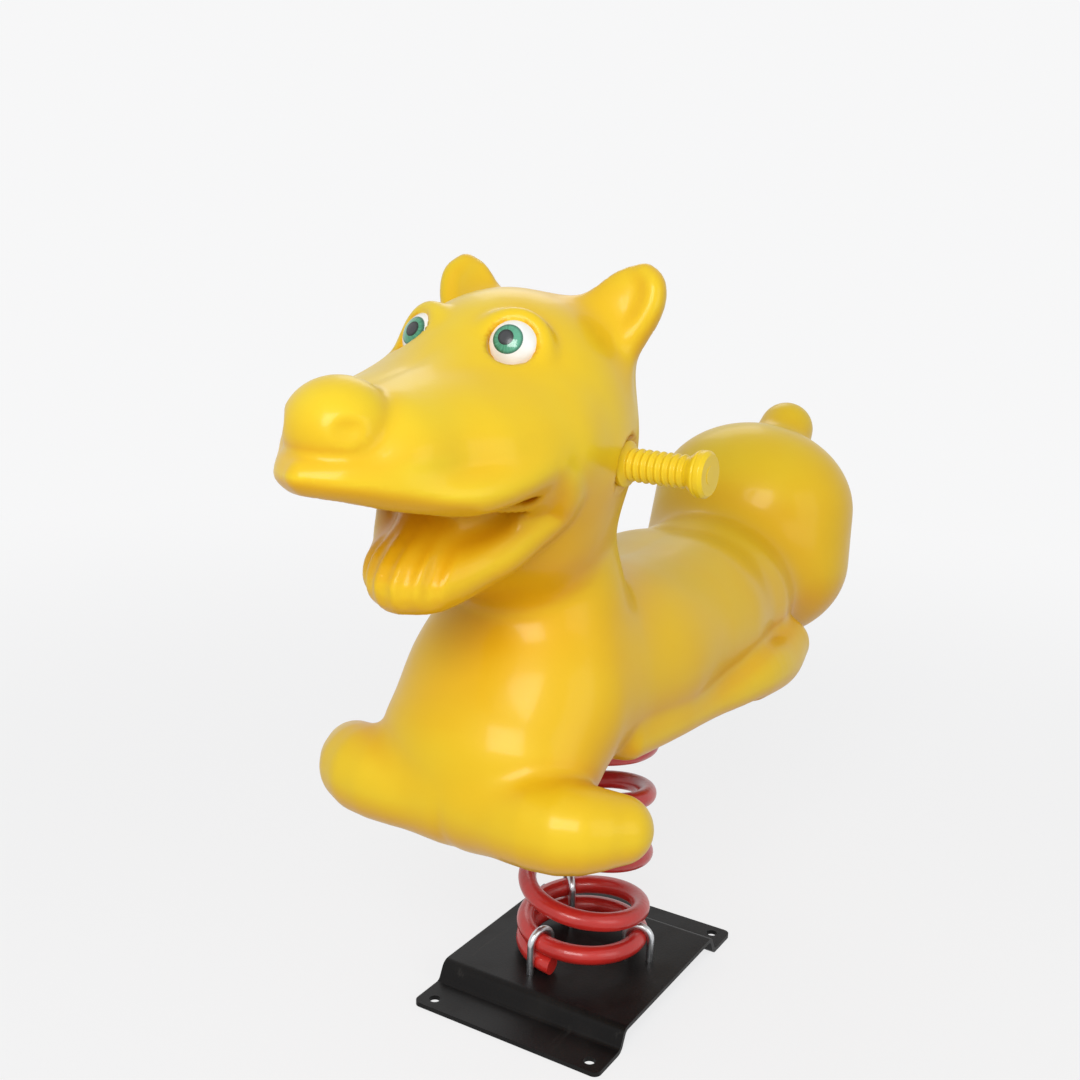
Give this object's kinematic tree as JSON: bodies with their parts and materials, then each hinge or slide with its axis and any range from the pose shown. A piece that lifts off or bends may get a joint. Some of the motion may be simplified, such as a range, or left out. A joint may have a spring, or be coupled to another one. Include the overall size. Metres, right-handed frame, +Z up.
{
  "type": "spring rider",
  "caption": "Playground spring rider: a hollow moulded animal with a saddle, ribbed hand grips and foot rests on a heavy coil spring over a bolted steel base plate.",
  "frame": {"origin": "on the ground under the spring's axis, at the middle of the anchor holes' underside", "axes": "+Z up along the spring's axis, -Y toward the nose, +X toward the animal's left"},
  "size_m": [0.38, 1.001, 0.7787],
  "materials": {
    "black_steel": "black powder coat",
    "red_steel": "red powder coat",
    "zinc_steel": "zinc plated",
    "brass": "plain brass",
    "yellow_plastic": "rotationally moulded, through coloured",
    "white_plastic": "gloss",
    "green_plastic": "gloss",
    "black_plastic": "gloss"
  },
  "bodies": {
    "base": {"base_plate": "black_steel", "lower_u_bolts": "zinc_steel", "lower_washers": "zinc_steel", "lower_nuts": "zinc_steel"},
    "spring": {"coil_spring": "red_steel"},
    "rider": {"upper_plate": "black_steel", "upper_u_bolts": "zinc_steel", "upper_washers": "zinc_steel", "upper_nuts": "zinc_steel", "mount_bolts": "zinc_steel", "mount_washers": "zinc_steel", "threaded_inserts": "brass", "rider_shell": "yellow_plastic", "handle_bar": "zinc_steel", "left_grip": "yellow_plastic", "right_grip": "yellow_plastic", "grip_screws": "zinc_steel", "grip_caps": "yellow_plastic", "left_eye_white": "white_plastic", "left_iris": "green_plastic", "left_pupil": "black_plastic", "right_eye_white": "white_plastic", "right_iris": "green_plastic", "right_pupil": "black_plastic"}
  },
  "joints": [
    {"name": "rock_fore_aft", "type": "hinge", "parent": "base", "child": "spring", "pos_m": [0, 0, 0.14], "axis": [1, 0, 0], "range_deg": [-20, 20], "stiffness_Nm_per_rad": 500, "deforming": ["coil_spring"]},
    {"name": "rock_sideways", "type": "hinge", "parent": "spring", "child": "rider", "pos_m": [0, 0, 0.2], "axis": [0, 1, 0], "range_deg": [-15, 15], "stiffness_Nm_per_rad": 500, "deforming": ["coil_spring"]}
  ]
}
